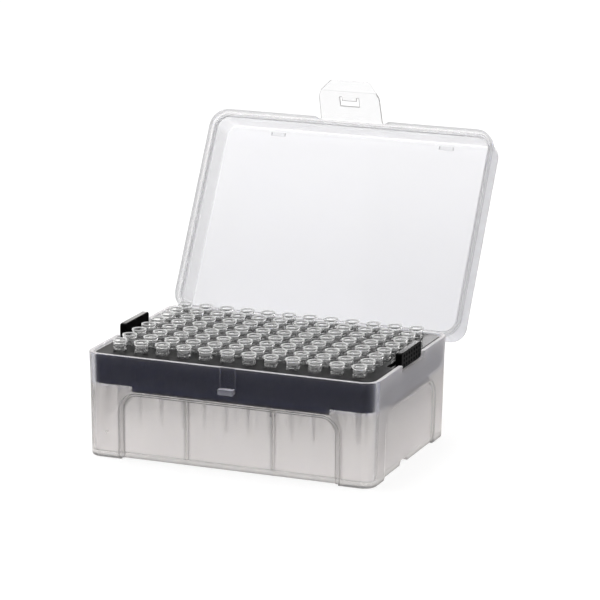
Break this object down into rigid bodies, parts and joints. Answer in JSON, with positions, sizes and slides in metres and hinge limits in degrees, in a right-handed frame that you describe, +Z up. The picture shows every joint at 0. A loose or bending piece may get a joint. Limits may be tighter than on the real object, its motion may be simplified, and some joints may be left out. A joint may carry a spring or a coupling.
{
  "type": "box of pipette tips",
  "caption": "Translucent box with a black rack of small pipette tips, sprung lift clips, and a hinged lid with a latch tab.",
  "frame": {"origin": "middle of the base in plan, on the plane of its four corner feet, 0.7 mm under the flat underside", "axes": "+X along the long side, +Y towards the hinge side, +Z up through the tips; the lid is open at rest"},
  "size_m": [0.1234, 0.1451, 0.131],
  "materials": {
    "frosted_base": "frosted translucent polypropylene, satin",
    "frosted_lid": "thin translucent polypropylene, satin",
    "clear_tab": "thin clear polypropylene",
    "black_rack": "fine moulded black, low gloss",
    "black_clip": "moulded black with a dimpled pad",
    "clear_tip": "clear moulded polypropylene"
  },
  "bodies": {
    "box": {"base": "frosted_base", "rack": "black_rack", "tips_column_01": "clear_tip", "tips_column_02": "clear_tip", "tips_column_03": "clear_tip", "tips_column_04": "clear_tip", "tips_column_05": "clear_tip", "tips_column_06": "clear_tip", "tips_column_07": "clear_tip", "tips_column_08": "clear_tip", "tips_column_09": "clear_tip", "tips_column_10": "clear_tip", "tips_column_11": "clear_tip", "tips_column_12": "clear_tip"},
    "lid": {"lid": "frosted_lid"},
    "latch_tab": {"latch_tab": "clear_tab"},
    "lift_clip_left": {"lift_clip_left": "black_clip"},
    "lift_clip_right": {"lift_clip_right": "black_clip"}
  },
  "joints": [
    {"name": "lid_hinge", "type": "hinge", "parent": "box", "child": "lid", "pos_m": [0, 0.04425, 0.0388], "axis": [1, 0, 0], "range_deg": [0, 119.3]},
    {"name": "latch_hinge", "type": "hinge", "parent": "lid", "child": "latch_tab", "pos_m": [0, 0.08808, 0.11414], "axis": [1, 0, 0], "range_deg": [-48, 42.2], "stiffness_Nm_per_rad": 0.002},
    {"name": "clip_press_left", "type": "hinge", "parent": "box", "child": "lift_clip_left", "pos_m": [-0.0567, 0, 0.02935], "axis": [0, 1, 0], "range_deg": [0, 6], "stiffness_Nm_per_rad": 0.2},
    {"name": "clip_press_right", "type": "hinge", "parent": "box", "child": "lift_clip_right", "pos_m": [0.0567, 0, 0.02935], "axis": [0, -1, 0], "range_deg": [0, 6], "stiffness_Nm_per_rad": 0.2}
  ]
}
